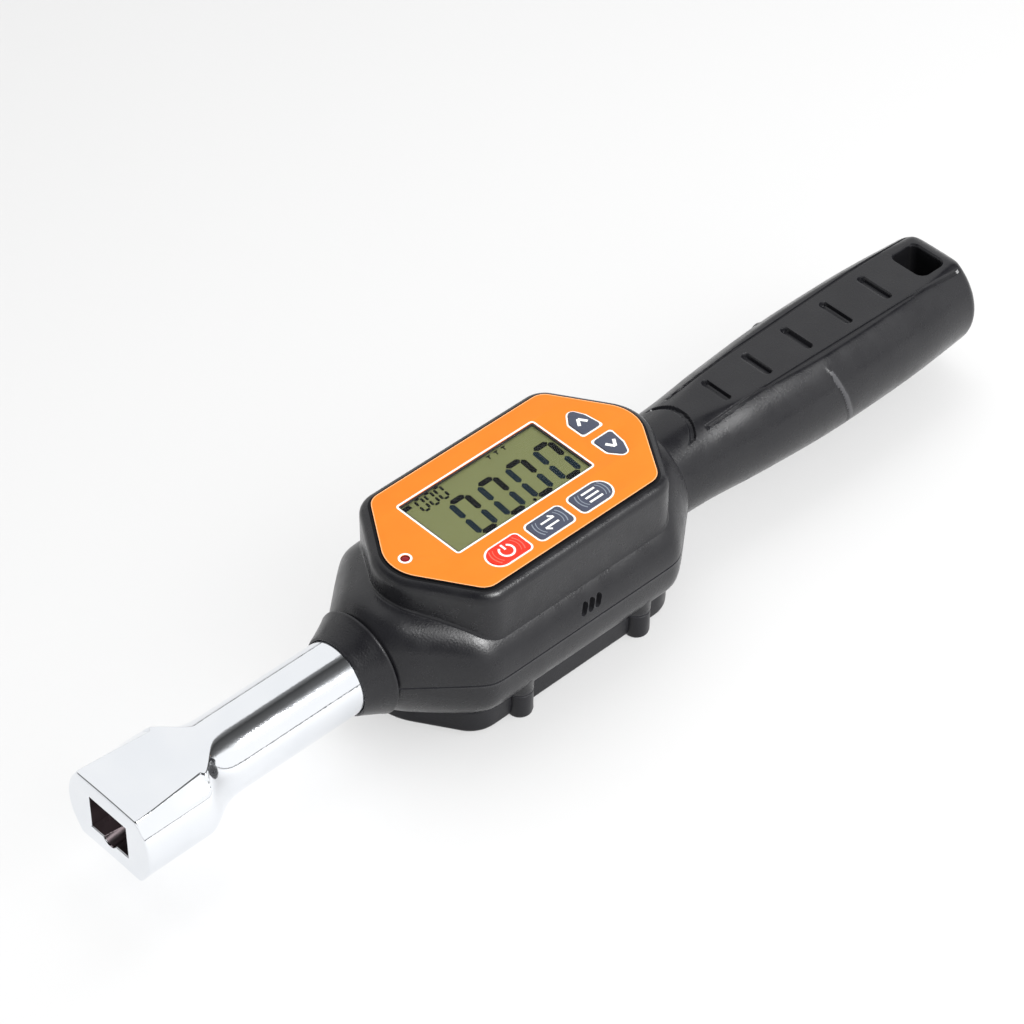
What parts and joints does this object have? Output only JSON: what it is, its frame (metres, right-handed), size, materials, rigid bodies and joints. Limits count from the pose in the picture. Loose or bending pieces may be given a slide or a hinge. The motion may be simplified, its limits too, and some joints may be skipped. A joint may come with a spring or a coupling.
{
  "type": "torque wrench",
  "caption": "Slim digital torque wrench with a rectangular insert socket, a chromed shaft, a hexagonal display housing with keys, and a moulded handle with a hanging hole.",
  "frame": {"origin": "centre of the insert socket's mouth, on the tool's axis", "axes": "+X along the tool from the socket to the handle, +Z out of the display face, +Y to the left seen from the handle with the display up"},
  "size_m": [0.2505, 0.0494, 0.0403],
  "materials": {
    "chromed_steel": "bright chrome plate",
    "machined_steel": "turned and milled",
    "black_plastic": "fine spark-eroded grain",
    "grip_plastic": "fine grain",
    "bush_plastic": "moulded",
    "soft_rubber": "dull",
    "orange_film": "printed polyester film",
    "red_key": "embossed film key",
    "grey_key": "embossed film key",
    "clear_window": "clear",
    "lcd_glass": "grey-green display glass",
    "white_plastic": "moulded",
    "board_green": "solder-masked circuit board",
    "gold_foil": "foil on film",
    "zinc_steel": "zinc plated",
    "lamp_red": "dark red, unlit",
    "cell_sleeve": "printed shrink sleeve",
    "spring_nickel": "nickel plated"
  },
  "bodies": {
    "wrench": {"drive_shaft": "chromed_steel", "nose_collar": "black_plastic", "nose_bush": "bush_plastic", "sensor_beam": "machined_steel", "strain_gauges": "gold_foil", "amplifier_board": "board_green", "ribbon_cable": "white_plastic", "front_cross_pin": "machined_steel", "rear_cross_pin": "machined_steel", "handle_tube": "machined_steel", "tube_plug": "soft_rubber", "grip": "grip_plastic", "upper_housing": "black_plastic", "lower_housing": "black_plastic", "bottom_cover": "black_plastic", "cover_gasket": "soft_rubber", "housing_screws": "zinc_steel", "face_label": "orange_film", "lcd_window": "clear_window", "lcd_panel": "lcd_glass", "lcd_frame": "white_plastic", "lcd_connectors": "soft_rubber", "main_board": "board_green", "board_screws": "zinc_steel", "dome_switches": "spring_nickel", "indicator_led": "lamp_red", "buzzer": "black_plastic", "battery_tray": "bush_plastic", "battery_cells": "cell_sleeve", "battery_contacts": "spring_nickel"},
    "power_key": {"key_power": "red_key"},
    "unit_key": {"key_unit": "grey_key"},
    "memory_key": {"key_memory": "grey_key"},
    "up_key": {"key_up": "grey_key"},
    "down_key": {"key_down": "grey_key"}
  },
  "joints": [
    {"name": "power_key_press", "type": "slide", "parent": "wrench", "child": "power_key", "axis": [0, 0, -1], "range_m": [0, 0.00035], "stiffness_N_per_m": 3000, "springref_m": -0.0002},
    {"name": "unit_key_press", "type": "slide", "parent": "wrench", "child": "unit_key", "axis": [0, 0, -1], "range_m": [0, 0.00035], "stiffness_N_per_m": 3000, "springref_m": -0.0002},
    {"name": "memory_key_press", "type": "slide", "parent": "wrench", "child": "memory_key", "axis": [0, 0, -1], "range_m": [0, 0.00035], "stiffness_N_per_m": 3000, "springref_m": -0.0002},
    {"name": "up_key_press", "type": "slide", "parent": "wrench", "child": "up_key", "axis": [0, 0, -1], "range_m": [0, 0.00035], "stiffness_N_per_m": 3000, "springref_m": -0.0002},
    {"name": "down_key_press", "type": "slide", "parent": "wrench", "child": "down_key", "axis": [0, 0, -1], "range_m": [0, 0.00035], "stiffness_N_per_m": 3000, "springref_m": -0.0002}
  ]
}
